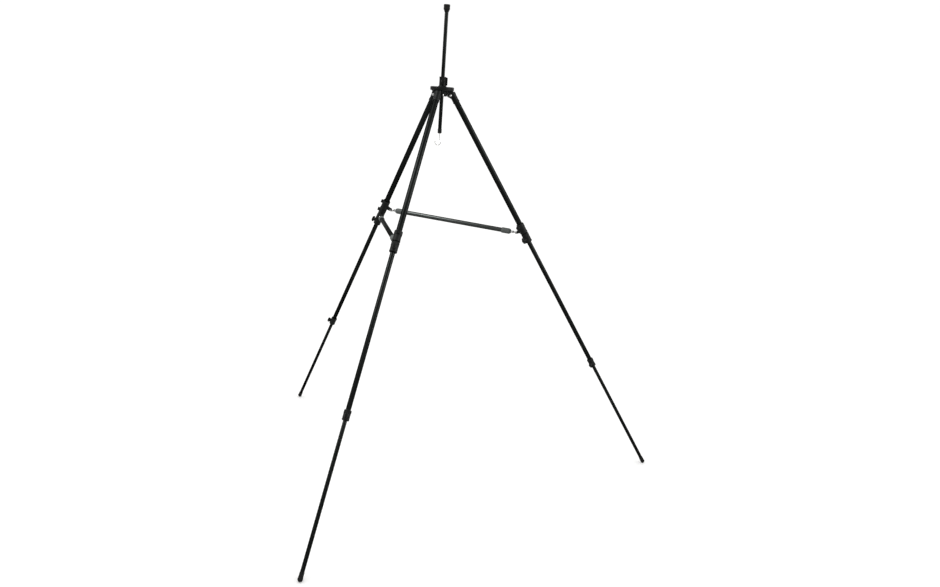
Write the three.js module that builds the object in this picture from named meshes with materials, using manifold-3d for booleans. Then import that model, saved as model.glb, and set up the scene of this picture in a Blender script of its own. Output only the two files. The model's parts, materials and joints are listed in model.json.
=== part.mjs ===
// Tripod hunting stand: a shooting rest with three telescopic legs, a head plate that
// they fold under, a sliding centre column with a rubber cap and a bag hook, and two
// rigid spreader bars that brace the front and right legs against the left one.
// Millimetres, +Z up. The feet stand on z = 0, and the origin is the middle of the
// footprint, so the column stands behind it, on the axis that STAND_AXIS_Y gives.

import * as THREE from 'three';
import { mergeVertices } from 'three/addons/utils/BufferGeometryUtils.js';
import Module from 'manifold-3d';

const wasm = await Module();
wasm.setup();

// ---- Driving dimensions ----

const GAP = 0.3;
const SIDES = 16;
const SMALL_SIDES = 10;
const PLATE_SIDES = 32;

// Legs: azimuth seen from above, and the bearings of the upper and lower wing screws
// round the leg. Every station is a distance down a leg from the pin it folds on.
const LEGS = [
  { name: 'front', azimuth: -90, wings: { upper: 20, lower: 20 } },
  { name: 'right', azimuth: 30, wings: { upper: -148, lower: -125 } },
  { name: 'left', azimuth: 150, wings: { upper: 50, lower: 50 } },
];
const SPREAD = THREE.MathUtils.degToRad(32);
const PIN_CIRCLE = 31;
const TUBE_OFFSET = 11;
const TUBE_WALL = 1.2;
const UPPER = { radius: 11, top: 12, bottom: 634 };
const MIDDLE = { radius: 9, top: 576, bottom: 1251 };
const LOWER = { radius: 7, top: 1196, bottom: 1786 };

// Head casting, measured from the plane of the leg pins.
const PLATE = { radius: 45.3, under: 16, top: 31 };
const SLEEVE = { radius: 13, top: 68 };
const CLAMP_LUG = { reach: 19, half_width: 7, bottom: 35, top: 66, azimuth: 21 };
const HUB = { radius: 20, bottom: -5 };
const EAR = { inner: 13.5, thickness: 4, radius: 8 };
const PIN_RADIUS = 3;
const PIN_HEAD = { radius: 5.2, thickness: 2.4 };

// Fitting at the top of each leg, which carries the tube and folds between two ears.
const KNUCKLE = { radius: 13, bottom: 36, lug_radius: 8.5, lug_width: 18 };

// Locks: a collar on the end of the outer tube, and a wing screw that grips the inner one.
const UPPER_LOCK = { radius: 15, top: 620, bottom: 660, screw: 643.5, boss: 16.5, span: 26 };
const LOWER_LOCK = { radius: 13, top: 1239, bottom: 1275, screw: 1259.5, boss: 14.5, span: 24 };
const LOCK_BOSS_RADIUS = 8;
const SCREW = { radius: 3, hub: 7, wing_thickness: 6.4, wing_depth: 11 };

// Guide bush in the top end of each sliding tube.
const BUSH = { head: 10, spigot: 15 };

// Rubber foot: a sleeve with a round end, worn flat where it stands.
const FOOT = { radius: 9, top: 1768, centre: 1791, flat: 1 };

// Spreader brackets: collars on the upper tubes, each with a clamp boss, a fork and a pin.
const BRACKET = { radius: 15.5, above: 28, below: 13, station: 605, bearing: 145.7 };
const CLAMP_BOSS = { radius: 7.5, reach: 22.5, height: 19 };
const FORK = { reach: 30, eye: 4.8, half_height: 5.5, slot: 2.8, half_width: 5.8, root: 22.3 };
const CROSS_PIN = { radius: 2.5, head_radius: 4.2, head: 1.5 };

// Spreader bars: a tube with a sleeve on each end, an eye that pivots, and an open hook.
const BAR = { radius: 9, sleeve_radius: 11.5, sleeve_start: 24, sleeve_end: 62, tube_start: 38 };
const LINK = { radius: 2.6, eye_radius: 5.5, thickness: 4, buried: 36 };
const LINK_COLLAR = { radius: 5.5, from_eye: 9.5, from_hook: 12 };
const BAR_HOOK = { wire: 2.2, bend: 5.3, neck: 18 };

// Centre column, measured from the plane of the leg pins.
const COLUMN = { radius: 7, top: 323, bottom: -126.5 };
const CAP = { radius: 12, foot_radius: 8.8, bottom: 304, shoulder: 317, top: 331 };
const PLUG = { radius: 8, top: -126.5, bottom: -144.5, spigot: 16, recess: 3.2 };
const COLUMN_SCREW = { height: 50, boss: 14.5, boss_radius: 6, span: 30, azimuth: -65 };
const BAG_HOOK = { wire: 1.25, bend: 11.5, centre_x: -5.5, centre_z: -178, straight_end: -162 };
const BAG_HOOK_HEAD = { radius: 2.8, thickness: 2, z: -137.7 };

// Where the pin plane and the stand's axis come to lie, from the spread legs.
const sinSpread = Math.sin(SPREAD);
const cosSpread = Math.cos(SPREAD);
const PIN_HEIGHT = FOOT.centre * cosSpread - TUBE_OFFSET * sinSpread + FOOT.radius - FOOT.flat;
const FOOT_CIRCLE = PIN_CIRCLE + TUBE_OFFSET * cosSpread + FOOT.centre * sinSpread;
const STAND_AXIS_Y = FOOT_CIRCLE / 4;

// ---- Solids ----

// A closed geometry as a solid, with shared vertices merged and its faces pointing out.
function solidOf(geometry) {
  const bare = new THREE.BufferGeometry();
  bare.setAttribute('position', geometry.getAttribute('position'));
  bare.setIndex(geometry.index);
  const merged = mergeVertices(bare, 1e-4);
  const points = merged.getAttribute('position');
  const corners = merged.index.array;
  const a = new THREE.Vector3();
  const b = new THREE.Vector3();
  const c = new THREE.Vector3();
  let faces = [];
  let volume = 0;
  for (let i = 0; i < corners.length; i += 3) {
    const [p, q, r] = corners.slice(i, i + 3);
    if (p !== q && q !== r && r !== p) {
      faces.push([p, q, r]);
      a.fromBufferAttribute(points, p);
      b.fromBufferAttribute(points, q);
      c.fromBufferAttribute(points, r);
      volume += a.dot(b.cross(c));
    }
  }
  if (volume < 0) {
    faces = faces.map(([p, q, r]) => [p, r, q]);
  }
  const vertProperties = new Float32Array(points.array);
  const triVerts = new Uint32Array(faces.flat());
  return new wasm.Manifold(new wasm.Mesh({ numProp: 3, vertProperties, triVerts }));
}

// A solid back as a three.js geometry.
function geometryOf(solid) {
  const { vertProperties, triVerts } = solid.getMesh();
  const geometry = new THREE.BufferGeometry();
  geometry.setAttribute('position', new THREE.BufferAttribute(vertProperties, 3));
  geometry.setIndex(new THREE.BufferAttribute(triVerts, 1));
  geometry.computeVertexNormals();
  return geometry;
}

function join(...solids) {
  return solids.reduce((whole, piece) => whole.add(piece));
}

function cut(solid, ...tools) {
  return tools.reduce((rest, tool) => rest.subtract(tool), solid);
}

// A turned piece about Z, from a profile of [radius, z] corners.
function turned(profile, sides = SIDES, at = [0, 0, 0]) {
  const points = profile.map(([radius, z]) => new THREE.Vector2(radius, z));
  const geometry = new THREE.LatheGeometry(points, sides);
  geometry.rotateX(Math.PI / 2);
  geometry.translate(...at);
  return solidOf(geometry);
}

function rodProfile(radius, low, high) {
  return [[0, low], [radius, low], [radius, high], [0, high]];
}

function rod(radius, low, high, sides = SIDES, at = [0, 0, 0]) {
  return turned(rodProfile(radius, low, high), sides, at);
}

function ring(outer, inner, low, high, sides = SIDES) {
  return turned([[inner, low], [outer, low], [outer, high], [inner, high], [inner, low]], sides);
}

// A rod along the local X or Y axis.
function crossRod(axis, radius, low, high, sides = SMALL_SIDES, at = [0, 0, 0]) {
  const points = rodProfile(radius, low, high).map(([r, z]) => new THREE.Vector2(r, z));
  const geometry = new THREE.LatheGeometry(points, sides);
  if (axis === 'x') {
    geometry.rotateZ(-Math.PI / 2);
  }
  geometry.translate(...at);
  return solidOf(geometry);
}

function block(size, centre) {
  const geometry = new THREE.BoxGeometry(...size);
  geometry.translate(...centre);
  return solidOf(geometry);
}

// An outline drawn in the XZ plane, as a plate that spans low..high along Y.
function plateAcross(shape, low, high, curveSegments = 4, turnY = 0) {
  const geometry = new THREE.ExtrudeGeometry(shape, {
    depth: high - low,
    bevelEnabled: false,
    curveSegments,
  });
  geometry.rotateX(Math.PI / 2);
  geometry.translate(0, high, 0);
  geometry.rotateY(turnY);
  return solidOf(geometry);
}

// A round wire along a curve, with flat ends. An arc takes two sides to a segment.
function wire(curve, radius, steps, sides = 8) {
  const section = new THREE.Shape();
  section.absarc(0, 0, radius, 0, 2 * Math.PI);
  const geometry = new THREE.ExtrudeGeometry(section, {
    steps,
    curveSegments: sides / 2,
    extrudePath: curve,
  });
  return solidOf(geometry);
}

// ---- Materials ----

function finish(color, roughness, metalness) {
  return () => new THREE.MeshStandardMaterial({ color, roughness, metalness });
}

const anodised = finish(0x191b1a, 0.42, 0.8);
const barGrey = finish(0x3a3b3c, 0.5, 0.4);
const casting = finish(0x161817, 0.55, 0.3);
const plastic = finish(0x1c1e1d, 0.6, 0.0);
const rubber = finish(0x101111, 0.85, 0.0);
const steel = finish(0xb9babb, 0.28, 1.0);
const nylon = finish(0xd8d6cf, 0.55, 0.0);

// ---- Frame of the stand ----

const stand = new THREE.Group();
const head = new THREE.Group();
head.position.set(0, STAND_AXIS_Y, PIN_HEIGHT);
stand.add(head);

function addPiece(parent, name, solid, material) {
  const mesh = new THREE.Mesh(geometryOf(solid), material());
  mesh.name = name;
  parent.add(mesh);
}

// A group turned about its parent's Z, by degrees, with its origin at a place.
function turnedGroup(parent, degrees, at = [0, 0, 0]) {
  const group = new THREE.Group();
  group.position.set(...at);
  group.rotation.z = THREE.MathUtils.degToRad(degrees);
  parent.add(group);
  return group;
}

// ---- Head ----

// One ear of a pair, as an outline across the plate's radius, round about the leg pin.
function earOutline() {
  const shape = new THREE.Shape();
  const overlap = 2;
  shape.moveTo(PIN_CIRCLE - EAR.radius, PLATE.under + overlap);
  shape.lineTo(PIN_CIRCLE - EAR.radius, 0);
  shape.absarc(PIN_CIRCLE, 0, EAR.radius, Math.PI, 2 * Math.PI);
  shape.lineTo(PIN_CIRCLE + EAR.radius, PLATE.under + overlap);
  return shape;
}

function rotatedAboutZ(solid, degrees) {
  const geometry = geometryOf(solid);
  geometry.rotateZ(THREE.MathUtils.degToRad(degrees));
  return solidOf(geometry);
}

function headCasting() {
  const edge = 1.5;
  const plate = turned([
    [0, PLATE.under],
    [PLATE.radius - edge, PLATE.under],
    [PLATE.radius, PLATE.under + edge],
    [PLATE.radius, PLATE.top - edge],
    [PLATE.radius - edge, PLATE.top],
    [0, PLATE.top],
  ], PLATE_SIDES);
  const inside = PLATE.under + edge;
  let body = join(
    plate,
    rod(SLEEVE.radius, inside, SLEEVE.top),
    rod(HUB.radius, HUB.bottom, inside),
  );
  const lug = block([CLAMP_LUG.reach, 2 * CLAMP_LUG.half_width, CLAMP_LUG.top - CLAMP_LUG.bottom],
    [CLAMP_LUG.reach / 2, 0, (CLAMP_LUG.top + CLAMP_LUG.bottom) / 2]);
  body = body.add(rotatedAboutZ(lug, CLAMP_LUG.azimuth));
  const reach = COLUMN_SCREW.boss;
  const screwBoss = crossRod('x', COLUMN_SCREW.boss_radius, 0, reach, SMALL_SIDES,
    [0, 0, COLUMN_SCREW.height]);
  body = body.add(rotatedAboutZ(screwBoss, COLUMN_SCREW.azimuth));
  for (const leg of LEGS) {
    for (const side of [-1, 1]) {
      const near = side * EAR.inner;
      const far = side * (EAR.inner + EAR.thickness);
      const ear = plateAcross(earOutline(), Math.min(near, far), Math.max(near, far));
      body = body.add(rotatedAboutZ(ear, leg.azimuth));
    }
    const span = EAR.inner + EAR.thickness + GAP;
    const bore = crossRod('y', PIN_RADIUS + GAP, -span, span, SMALL_SIDES, [PIN_CIRCLE, 0, 0]);
    body = body.subtract(rotatedAboutZ(bore, leg.azimuth));
  }
  const columnBore = rod(COLUMN.radius + GAP, HUB.bottom - 1, SLEEVE.top + 1);
  const screwBore = crossRod('x', SCREW.radius + GAP, 0, reach + 1, SMALL_SIDES,
    [0, 0, COLUMN_SCREW.height]);
  return cut(body, columnBore, rotatedAboutZ(screwBore, COLUMN_SCREW.azimuth));
}

// A rivet along Y: a shaft with a low head outside each ear.
function rivet(radius, halfLength, headRadius, headThickness) {
  const shaft = crossRod('y', radius, -halfLength, halfLength);
  const near = crossRod('y', headRadius, halfLength, halfLength + headThickness);
  const far = crossRod('y', headRadius, -halfLength - headThickness, -halfLength);
  return join(shaft, near, far);
}

// A wing screw along local X: shaft from the tube it grips, a hub, and two flat wings.
function wingScrew(gripRadius, seat, span) {
  const start = seat + GAP;
  const depth = SCREW.wing_depth;
  const shaft = crossRod('x', SCREW.radius, gripRadius + GAP, start + 1);
  const hub = crossRod('x', SCREW.hub, start, start + depth);
  const outline = new THREE.Shape();
  const corner = 3;
  const half = span / 2;
  const low = start + 0.6;
  const high = start + depth;
  outline.moveTo(low, -half + corner);
  outline.absarc(low + corner, half - corner, corner, Math.PI, Math.PI / 2, true);
  outline.absarc(high - corner, half - corner, corner, Math.PI / 2, 0, true);
  outline.absarc(high - corner, -half + corner, corner, 0, -Math.PI / 2, true);
  outline.absarc(low + corner, -half + corner, corner, -Math.PI / 2, -Math.PI, true);
  const halfWing = SCREW.wing_thickness / 2;
  return join(shaft, hub, plateAcross(outline, -halfWing, halfWing, 1));
}

addPiece(head, 'head_casting', headCasting(), casting);
const columnScrewSeat = turnedGroup(head, COLUMN_SCREW.azimuth, [0, 0, COLUMN_SCREW.height]);
const columnScrew = wingScrew(COLUMN.radius, COLUMN_SCREW.boss, COLUMN_SCREW.span);
addPiece(columnScrewSeat, 'column_wing_screw', columnScrew, plastic);

// ---- Centre column ----

function columnCap() {
  const rounding = 2.5;
  const seat = COLUMN.radius + GAP;
  return turned([
    [seat, CAP.bottom],
    [CAP.foot_radius, CAP.bottom],
    [CAP.radius, CAP.shoulder],
    [CAP.radius, CAP.top - rounding],
    [CAP.radius - rounding * 0.3, CAP.top - rounding * 0.3],
    [CAP.radius - rounding, CAP.top],
    [0, CAP.top],
    [0, COLUMN.top + GAP],
    [seat, COLUMN.top + GAP],
    [seat, CAP.bottom],
  ]);
}

// The plug turns on nothing: its stepped hole lets the hook swivel under the column.
function columnPlug() {
  const flangeTop = PLUG.top - GAP;
  const inner = COLUMN.radius - TUBE_WALL - GAP;
  const floor = BAG_HOOK_HEAD.z - BAG_HOOK_HEAD.thickness / 2 - GAP;
  const hole = BAG_HOOK.wire + GAP;
  const top = flangeTop + PLUG.spigot;
  return turned([
    [hole, PLUG.bottom],
    [PLUG.radius - 1, PLUG.bottom],
    [PLUG.radius, PLUG.bottom + 1],
    [PLUG.radius, flangeTop],
    [inner, flangeTop],
    [inner, top],
    [PLUG.recess, top],
    [PLUG.recess, floor],
    [hole, floor],
    [hole, PLUG.bottom],
  ]);
}

// Wire hook: a straight shank that turns freely in the plug, then a wide round bend.
function bagHook() {
  const { wire: radius, bend, centre_x: x, centre_z: z, straight_end: end } = BAG_HOOK;
  const points = [
    new THREE.Vector3(0, 0, BAG_HOOK_HEAD.z),
    new THREE.Vector3(0, 0, (BAG_HOOK_HEAD.z + end) / 2),
    new THREE.Vector3(0, 0, end),
    new THREE.Vector3(3.4, 0, end - 8.5),
  ];
  const first = 0;
  const last = -195;
  const turns = 9;
  for (let i = 0; i <= turns; i += 1) {
    const angle = THREE.MathUtils.degToRad(first + (last - first) * i / turns);
    points.push(new THREE.Vector3(x + bend * Math.cos(angle), 0, z + bend * Math.sin(angle)));
  }
  const half = BAG_HOOK_HEAD.thickness / 2;
  const headDisc = rod(BAG_HOOK_HEAD.radius, BAG_HOOK_HEAD.z - half, BAG_HOOK_HEAD.z + half,
    SMALL_SIDES);
  return join(wire(new THREE.CatmullRomCurve3(points), radius, 36), headDisc);
}

const columnTube = ring(COLUMN.radius, COLUMN.radius - TUBE_WALL, COLUMN.bottom, COLUMN.top);
addPiece(head, 'column_tube', columnTube, anodised);
addPiece(head, 'column_cap', columnCap(), rubber);
addPiece(head, 'column_plug', columnPlug(), plastic);
addPiece(head, 'bag_hook', bagHook(), steel);

// ---- Leg pieces ----

// The leg's top fitting, in pin coordinates: X outwards across the leg, Z up along it.
// Its top lies flat under the head plate when the leg is spread, and the inner side is
// round about the pin, so that it clears the plate while the leg folds.
function knuckle() {
  const collar = rod(KNUCKLE.radius, -KNUCKLE.bottom, 2 * KNUCKLE.radius, SIDES, [TUBE_OFFSET, 0, 0]);
  const outline = new THREE.Shape();
  outline.absarc(0, 0, KNUCKLE.lug_radius, Math.PI / 2, Math.PI * 1.25);
  outline.lineTo(TUBE_OFFSET, -KNUCKLE.bottom + 4);
  outline.lineTo(TUBE_OFFSET, KNUCKLE.lug_radius);
  const half = KNUCKLE.lug_width / 2;
  const lug = plateAcross(outline, -half, half);
  const stop = PLATE.under - GAP;
  const far = 80;
  const room = new THREE.Shape();
  room.moveTo(far, stop);
  room.absarc(0, 0, stop, Math.PI / 2, Math.PI);
  room.lineTo(-stop, -far);
  room.lineTo(far, -far);
  const keep = plateAcross(room, -far, far, 6, SPREAD);
  const socket = rod(UPPER.radius + GAP, -far, -UPPER.top + GAP, SIDES, [TUBE_OFFSET, 0, 0]);
  const bore = crossRod('y', PIN_RADIUS + GAP, -KNUCKLE.radius, KNUCKLE.radius);
  return cut(join(collar, lug).intersect(keep), socket, bore);
}

function tube({ radius, top, bottom }) {
  return ring(radius, radius - TUBE_WALL, -bottom, -top);
}

// Bush in the top of a sliding tube: its head runs in the tube around it.
function guideBush(inner, outer) {
  const seat = -inner.top + GAP;
  const head_radius = outer.radius - TUBE_WALL - GAP;
  const spigot_radius = inner.radius - TUBE_WALL - GAP;
  return turned([
    [0, seat - BUSH.spigot],
    [spigot_radius, seat - BUSH.spigot],
    [spigot_radius, seat],
    [head_radius, seat],
    [head_radius, seat + BUSH.head],
    [0, seat + BUSH.head],
  ]);
}

// Lock collar with its screw boss towards local X.
function lockCollar(lock, outer, inner) {
  const edge = 1.2;
  const shell = turned([
    [0, -lock.bottom],
    [lock.radius - edge, -lock.bottom],
    [lock.radius, -lock.bottom + edge],
    [lock.radius, -lock.top - edge],
    [lock.radius - edge, -lock.top],
    [0, -lock.top],
  ]);
  const boss = crossRod('x', LOCK_BOSS_RADIUS, 0, lock.boss, SMALL_SIDES, [0, 0, -lock.screw]);
  const wide = rod(outer.radius + GAP, -outer.bottom - GAP, -lock.top + 1);
  const narrow = rod(inner.radius + GAP, -lock.bottom - 1, -outer.bottom);
  const thread = crossRod('x', SCREW.radius + GAP, 0, lock.boss + 1, SMALL_SIDES,
    [0, 0, -lock.screw]);
  return cut(join(shell, boss), wide, narrow, thread);
}

// Foot with its axis along Z, cut flat by the ground when the leg is spread.
function rubberFoot() {
  const seat = LOWER.radius + GAP;
  const profile = [
    [seat, -FOOT.top],
    [FOOT.radius - 0.8, -FOOT.top],
  ];
  const steps = 6;
  for (let i = 0; i <= steps; i += 1) {
    const angle = Math.PI / 2 * i / steps;
    profile.push([FOOT.radius * Math.cos(angle), -FOOT.centre - FOOT.radius * Math.sin(angle)]);
  }
  profile[profile.length - 1][0] = 0;
  profile.push([0, -LOWER.bottom - GAP], [seat, -LOWER.bottom - GAP], [seat, -FOOT.top]);
  const size = 60;
  const ground = new THREE.BoxGeometry(size, size, size);
  ground.translate(0, 0, -FOOT.radius + FOOT.flat - size / 2);
  ground.rotateY(SPREAD);
  ground.translate(0, 0, -FOOT.centre);
  return cut(turned(profile), solidOf(ground));
}

// Spreader bracket about its pivot's level: a collar, a fork along local X, and a boss for
// the collar's clamp at a bearing round it.
function bracket(bossBearing) {
  const lug = new THREE.Shape();
  const inside = 13;
  lug.moveTo(inside, -FORK.half_height);
  lug.lineTo(FORK.root, -FORK.half_height);
  lug.absarc(FORK.reach, 0, FORK.eye, -Math.PI / 2, Math.PI / 2);
  lug.lineTo(FORK.root, FORK.half_height);
  lug.lineTo(inside, FORK.half_height);
  const boss = crossRod('x', CLAMP_BOSS.radius, 0, CLAMP_BOSS.reach, SMALL_SIDES,
    [0, 0, CLAMP_BOSS.height]);
  const collar = rod(BRACKET.radius, -BRACKET.below, BRACKET.above);
  const slotLength = FORK.reach + FORK.eye + 1 - FORK.root;
  const slot = block([slotLength, 2 * FORK.slot, 4 * FORK.half_height],
    [FORK.root + slotLength / 2, 0, 0]);
  const pinBore = crossRod('y', CROSS_PIN.radius + GAP, -FORK.reach, FORK.reach, SMALL_SIDES,
    [FORK.reach, 0, 0]);
  const tubeBore = rod(UPPER.radius + GAP, -BRACKET.below - 1, BRACKET.above + 1);
  const fork = cut(plateAcross(lug, -FORK.half_width, FORK.half_width), slot, pinBore);
  return cut(join(collar, fork, rotatedAboutZ(boss, bossBearing)), tubeBore);
}

function crossPin() {
  return rivet(CROSS_PIN.radius, FORK.half_width + GAP, CROSS_PIN.head_radius, CROSS_PIN.head);
}

// ---- Legs ----

// The group whose Z runs up along a leg's tubes, with its origin level with the pin.
function buildLeg({ name, azimuth, wings }) {
  const radial = turnedGroup(head, azimuth);
  const pinFrame = new THREE.Group();
  pinFrame.position.set(PIN_CIRCLE, 0, 0);
  radial.add(pinFrame);
  const pinLength = EAR.inner + EAR.thickness + GAP;
  const pin = rivet(PIN_RADIUS, pinLength, PIN_HEAD.radius, PIN_HEAD.thickness);
  addPiece(pinFrame, `leg_${name}_hinge_pin`, pin, steel);
  const legFrame = new THREE.Group();
  legFrame.rotation.y = -SPREAD;
  pinFrame.add(legFrame);
  addPiece(legFrame, `leg_${name}_top_fitting`, knuckle(), casting);
  const axis = new THREE.Group();
  axis.position.set(TUBE_OFFSET, 0, 0);
  legFrame.add(axis);
  addPiece(axis, `leg_${name}_upper_tube`, tube(UPPER), anodised);
  addPiece(axis, `leg_${name}_middle_tube`, tube(MIDDLE), anodised);
  addPiece(axis, `leg_${name}_lower_tube`, tube(LOWER), anodised);
  addPiece(axis, `leg_${name}_middle_guide_bush`, guideBush(MIDDLE, UPPER), nylon);
  addPiece(axis, `leg_${name}_lower_guide_bush`, guideBush(LOWER, MIDDLE), nylon);
  addPiece(axis, `leg_${name}_foot`, rubberFoot(), rubber);
  const places = [
    { place: 'upper', lock: UPPER_LOCK, outer: UPPER, inner: MIDDLE },
    { place: 'lower', lock: LOWER_LOCK, outer: MIDDLE, inner: LOWER },
  ];
  for (const { place, lock, outer, inner } of places) {
    const lockFrame = turnedGroup(axis, wings[place]);
    const collar = lockCollar(lock, outer, inner);
    addPiece(lockFrame, `leg_${name}_${place}_lock_collar`, collar, plastic);
    const screwFrame = new THREE.Group();
    screwFrame.position.set(0, 0, -lock.screw);
    lockFrame.add(screwFrame);
    const screw = wingScrew(inner.radius, lock.boss, lock.span);
    addPiece(screwFrame, `leg_${name}_${place}_wing_screw`, screw, plastic);
  }
  return axis;
}

const legAxes = Object.fromEntries(LEGS.map((leg) => [leg.name, buildLeg(leg)]));

// A bracket on a leg, its fork at a bearing round the tube, and the pivot at a station.
// Its clamp boss faces the same way as the leg's upper wing screw.
// It gives back a group at the pivot, whose Y is the cross pin's axis.
function addBracket(leg, suffix, bearing, station) {
  const { wings } = LEGS.find(({ name }) => name === leg);
  const frame = turnedGroup(legAxes[leg], bearing, [0, 0, -station]);
  addPiece(frame, `leg_${leg}_${suffix}_bracket`, bracket(wings.upper - bearing), plastic);
  const pivot = new THREE.Group();
  pivot.position.set(FORK.reach, 0, 0);
  frame.add(pivot);
  addPiece(pivot, `leg_${leg}_${suffix}_cross_pin`, crossPin(), steel);
  return pivot;
}

const stacked = BRACKET.station - BRACKET.above - BRACKET.below - GAP;
const pivots = {
  right: addBracket('right', 'spreader', BRACKET.bearing, BRACKET.station),
  left_for_right: addBracket('left', 'high_spreader', -BRACKET.bearing, stacked),
  front: addBracket('front', 'spreader', -BRACKET.bearing, BRACKET.station),
  left_for_front: addBracket('left', 'low_spreader', BRACKET.bearing, BRACKET.station),
};

// ---- Spreader bars ----

// The thick part of a link, from a distance off the cross pin up to the bar's sleeve.
function linkCollar(start) {
  return rod(LINK_COLLAR.radius, start, BAR.sleeve_start - GAP, SMALL_SIDES);
}

// Eye that turns on the cross pin, with its shank along Z into the bar's sleeve.
function barEye() {
  const shape = new THREE.Shape();
  shape.absarc(0, 0, LINK.eye_radius, 0, 2 * Math.PI);
  const half = LINK.thickness / 2;
  const eye = plateAcross(shape, -half, half, 7);
  const shank = rod(LINK.radius, CROSS_PIN.radius + 1.5, LINK.buried, SMALL_SIDES);
  const bore = crossRod('y', CROSS_PIN.radius + GAP, -LINK.thickness, LINK.thickness);
  return cut(join(eye, shank, linkCollar(LINK_COLLAR.from_eye)), bore);
}

// Sleeve on an end of the bar's tube, drawn for the end at z = 0.
function barSleeve() {
  const edge = 1.5;
  const shankHole = LINK.radius + GAP;
  const tubeHole = BAR.radius + GAP;
  const seat = BAR.tube_start - GAP;
  return turned([
    [shankHole, BAR.sleeve_start],
    [BAR.sleeve_radius - edge, BAR.sleeve_start],
    [BAR.sleeve_radius, BAR.sleeve_start + edge],
    [BAR.sleeve_radius, BAR.sleeve_end - edge],
    [BAR.sleeve_radius - edge, BAR.sleeve_end],
    [tubeHole, BAR.sleeve_end],
    [tubeHole, seat],
    [shankHole, seat],
    [shankHole, BAR.sleeve_start],
  ]);
}

// Open hook drawn with the cross pin at the origin: the shank comes along -Z, and the
// wire passes below the pin and up its far side, so the bar drops away from the pin.
function barHook(below) {
  const points = [
    new THREE.Vector3(0, 0, -LINK.buried),
    new THREE.Vector3(0, 0, -BAR_HOOK.neck - 6),
    new THREE.Vector3(below * 0.5, 0, -BAR_HOOK.neck + 2),
    new THREE.Vector3(below * BAR_HOOK.bend * 0.8, 0, -7.5),
  ];
  const turns = 5;
  for (let i = 0; i <= turns; i += 1) {
    const angle = Math.PI * 0.62 * i / turns;
    const x = below * BAR_HOOK.bend * Math.cos(angle);
    points.push(new THREE.Vector3(x, 0, BAR_HOOK.bend * Math.sin(angle)));
  }
  const collar = geometryOf(linkCollar(LINK_COLLAR.from_hook));
  collar.rotateX(Math.PI);
  return join(wire(new THREE.CatmullRomCurve3(points), BAR_HOOK.wire, 24), solidOf(collar));
}

// A bar between two brackets: Z from its eye to its hook, Y along the cross pins.
function buildBar(name, start, end) {
  stand.updateMatrixWorld(true);
  const from = new THREE.Vector3().setFromMatrixPosition(start.matrixWorld);
  const to = new THREE.Vector3().setFromMatrixPosition(end.matrixWorld);
  const along = new THREE.Vector3().subVectors(to, from);
  const length = along.length();
  const z = along.normalize();
  const y = new THREE.Vector3().setFromMatrixColumn(start.matrixWorld, 1);
  y.addScaledVector(z, -y.dot(z)).normalize();
  const x = new THREE.Vector3().crossVectors(y, z);
  const below = -Math.sign(x.z);
  const bar = new THREE.Group();
  bar.matrixAutoUpdate = false;
  bar.matrix.makeBasis(x, y, z).setPosition(from);
  stand.add(bar);
  const wall = BAR.radius - TUBE_WALL;
  const tubeSolid = ring(BAR.radius, wall, BAR.tube_start, length - BAR.tube_start);
  addPiece(bar, `${name}_tube`, tubeSolid, barGrey);
  addPiece(bar, `${name}_pivot_eye`, barEye(), steel);
  addPiece(bar, `${name}_pivot_sleeve`, barSleeve(), barGrey);
  const farEnd = new THREE.Group();
  farEnd.position.set(0, 0, length);
  bar.add(farEnd);
  addPiece(farEnd, `${name}_hook`, barHook(below), steel);
  const flipped = new THREE.Group();
  flipped.rotation.x = Math.PI;
  farEnd.add(flipped);
  addPiece(flipped, `${name}_hook_sleeve`, barSleeve(), barGrey);
}

buildBar('rear_spreader', pivots.right, pivots.left_for_right);
buildBar('side_spreader', pivots.front, pivots.left_for_front);

export default stand;
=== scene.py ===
# Looks of a tripod hunting stand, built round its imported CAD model.
# Shapes are drawn in millimetres in the same local frames as the CAD model's: Z up along
# a tube, and X towards a screw or a fork. place() then puts them into the row frame.

import math
from collections import namedtuple

import bmesh
import bpy
import numpy as np
from mathutils import Matrix, Vector
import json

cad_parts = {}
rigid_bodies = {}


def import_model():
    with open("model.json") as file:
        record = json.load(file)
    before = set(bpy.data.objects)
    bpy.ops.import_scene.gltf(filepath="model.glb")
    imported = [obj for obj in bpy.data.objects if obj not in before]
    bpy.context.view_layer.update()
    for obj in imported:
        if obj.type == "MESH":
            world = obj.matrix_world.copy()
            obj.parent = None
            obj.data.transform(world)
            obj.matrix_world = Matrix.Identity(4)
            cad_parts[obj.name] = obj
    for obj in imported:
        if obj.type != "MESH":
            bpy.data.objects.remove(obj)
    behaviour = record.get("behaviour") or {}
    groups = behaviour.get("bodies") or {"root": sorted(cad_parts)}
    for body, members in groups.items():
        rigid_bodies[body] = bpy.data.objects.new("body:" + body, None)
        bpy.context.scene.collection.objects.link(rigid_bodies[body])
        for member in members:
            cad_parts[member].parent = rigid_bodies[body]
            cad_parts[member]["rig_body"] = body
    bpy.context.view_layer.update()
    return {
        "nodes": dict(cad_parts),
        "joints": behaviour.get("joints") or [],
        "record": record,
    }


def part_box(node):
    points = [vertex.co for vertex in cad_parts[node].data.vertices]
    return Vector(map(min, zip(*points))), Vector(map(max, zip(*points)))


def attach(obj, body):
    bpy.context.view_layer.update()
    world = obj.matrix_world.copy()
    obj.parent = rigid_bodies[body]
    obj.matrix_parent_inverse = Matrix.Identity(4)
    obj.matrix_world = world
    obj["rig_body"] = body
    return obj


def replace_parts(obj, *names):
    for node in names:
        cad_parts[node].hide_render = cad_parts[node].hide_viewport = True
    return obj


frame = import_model()

MM = 0.001
TINY = 1e-6
ROUND = 64
SMALL_ROUND = 40

# ---- Driving dimensions, in millimetres ----

UPPER = {"radius": 11.0, "wall": 1.2, "top": 12.0, "bottom": 634.0}
MIDDLE = {"radius": 9.0, "wall": 1.2, "top": 576.0, "bottom": 1251.0}
LOWER = {"radius": 7.0, "wall": 1.2, "top": 1196.0, "bottom": 1786.0}

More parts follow.
